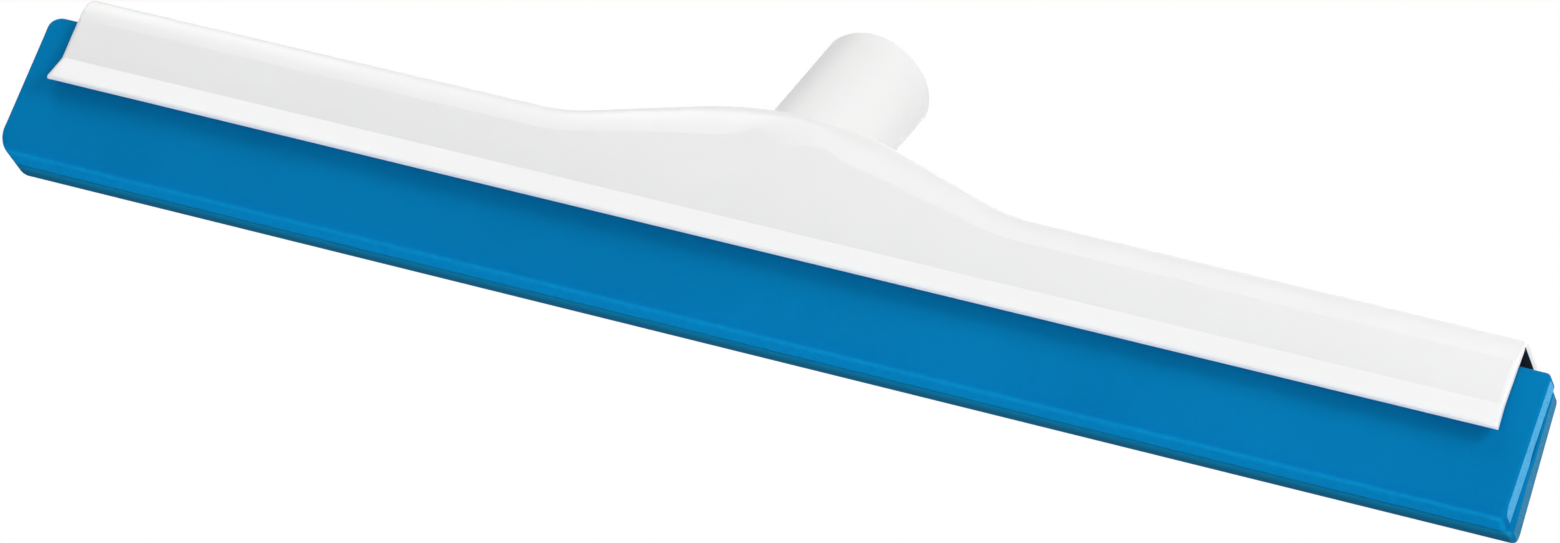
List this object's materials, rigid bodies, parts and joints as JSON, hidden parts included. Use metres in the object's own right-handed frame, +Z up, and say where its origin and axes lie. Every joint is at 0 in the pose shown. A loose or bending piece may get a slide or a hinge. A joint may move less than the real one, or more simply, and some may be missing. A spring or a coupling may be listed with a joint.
{
  "type": "floor squeegee",
  "caption": "Floor squeegee head: a moulded channel frame with a leaning round handle socket, holding a slide-out cassette of soft foam blades.",
  "frame": {"origin": "on the floor, in the middle of the blade's length and of the gap between the foam blades", "axes": "+X along the blade, +Y to the back, where the socket leans, +Z up from the floor"},
  "size_m": [0.45, 0.0598, 0.1055],
  "materials": {
    "white_plastic": "satin moulded",
    "carrier_plastic": "extruded",
    "blue_foam": "closed-cell foam"
  },
  "bodies": {
    "frame": {"frame": "white_plastic", "handle_socket": "white_plastic"},
    "cassette": {"blade_carrier": "carrier_plastic", "front_blade": "blue_foam", "rear_blade": "blue_foam"}
  },
  "joints": [
    {"name": "cassette_slide", "type": "slide", "parent": "frame", "child": "cassette", "axis": [1, 0, 0], "range_m": [0, 0.445]}
  ]
}
